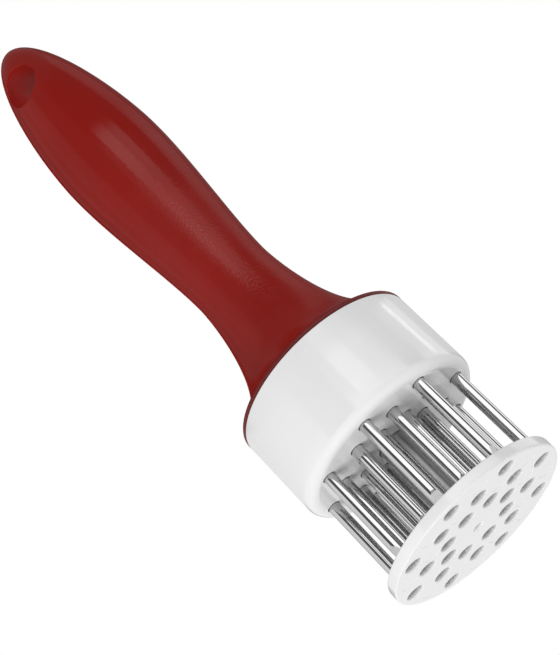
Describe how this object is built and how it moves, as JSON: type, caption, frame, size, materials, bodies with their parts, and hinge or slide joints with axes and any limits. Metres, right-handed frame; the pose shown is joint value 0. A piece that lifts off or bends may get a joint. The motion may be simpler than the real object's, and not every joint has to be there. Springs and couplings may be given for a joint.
{
  "type": "blade meat tenderizer",
  "caption": "Hand tenderizer with a long round red handle, a white round head of chisel-ended steel pins, and a sprung white guard disc that the pins pass through.",
  "frame": {"origin": "centre of the guard disc's flat lower face, with the guard fully out", "axes": "+Z along the tool's axis from the guard disc to the end of the handle; the hanging hole runs along Y"},
  "size_m": [0.0538, 0.0538, 0.2016],
  "materials": {
    "red_plastic": "satin moulded",
    "white_plastic": "gloss moulded",
    "grey_plastic": "plain moulded",
    "polished_steel": "polished, with ground bevels",
    "satin_steel": "satin"
  },
  "bodies": {
    "handle": {"handle": "red_plastic", "housing": "white_plastic", "backing_plate": "grey_plastic", "guide_bush": "grey_plastic", "plate_screw_1": "satin_steel", "plate_screw_2": "satin_steel", "plate_screw_3": "satin_steel", "plate_screw_4": "satin_steel", "pin_inner_1": "polished_steel", "pin_inner_2": "polished_steel", "pin_inner_3": "polished_steel", "pin_inner_4": "polished_steel", "pin_inner_5": "polished_steel", "pin_inner_6": "polished_steel", "pin_inner_7": "polished_steel", "pin_inner_8": "polished_steel", "pin_middle_1": "polished_steel", "pin_middle_2": "polished_steel", "pin_middle_3": "polished_steel", "pin_middle_4": "polished_steel", "pin_middle_5": "polished_steel", "pin_middle_6": "polished_steel", "pin_middle_7": "polished_steel", "pin_middle_8": "polished_steel", "pin_outer_1": "polished_steel", "pin_outer_2": "polished_steel", "pin_outer_3": "polished_steel", "pin_outer_4": "polished_steel", "pin_outer_5": "polished_steel", "pin_outer_6": "polished_steel", "pin_outer_7": "polished_steel", "pin_outer_8": "polished_steel", "return_spring": "satin_steel"},
    "guard": {"guard_disc": "white_plastic", "plunger_tube": "satin_steel", "plunger_core": "grey_plastic", "stop_washer": "satin_steel", "stop_screw": "satin_steel"}
  },
  "joints": [
    {"name": "guard_slide", "type": "slide", "parent": "handle", "child": "guard", "axis": [0, 0, 1], "range_m": [0, 0.0255], "stiffness_N_per_m": 800, "springref_m": -0.0125, "deforming": ["return_spring"]}
  ]
}
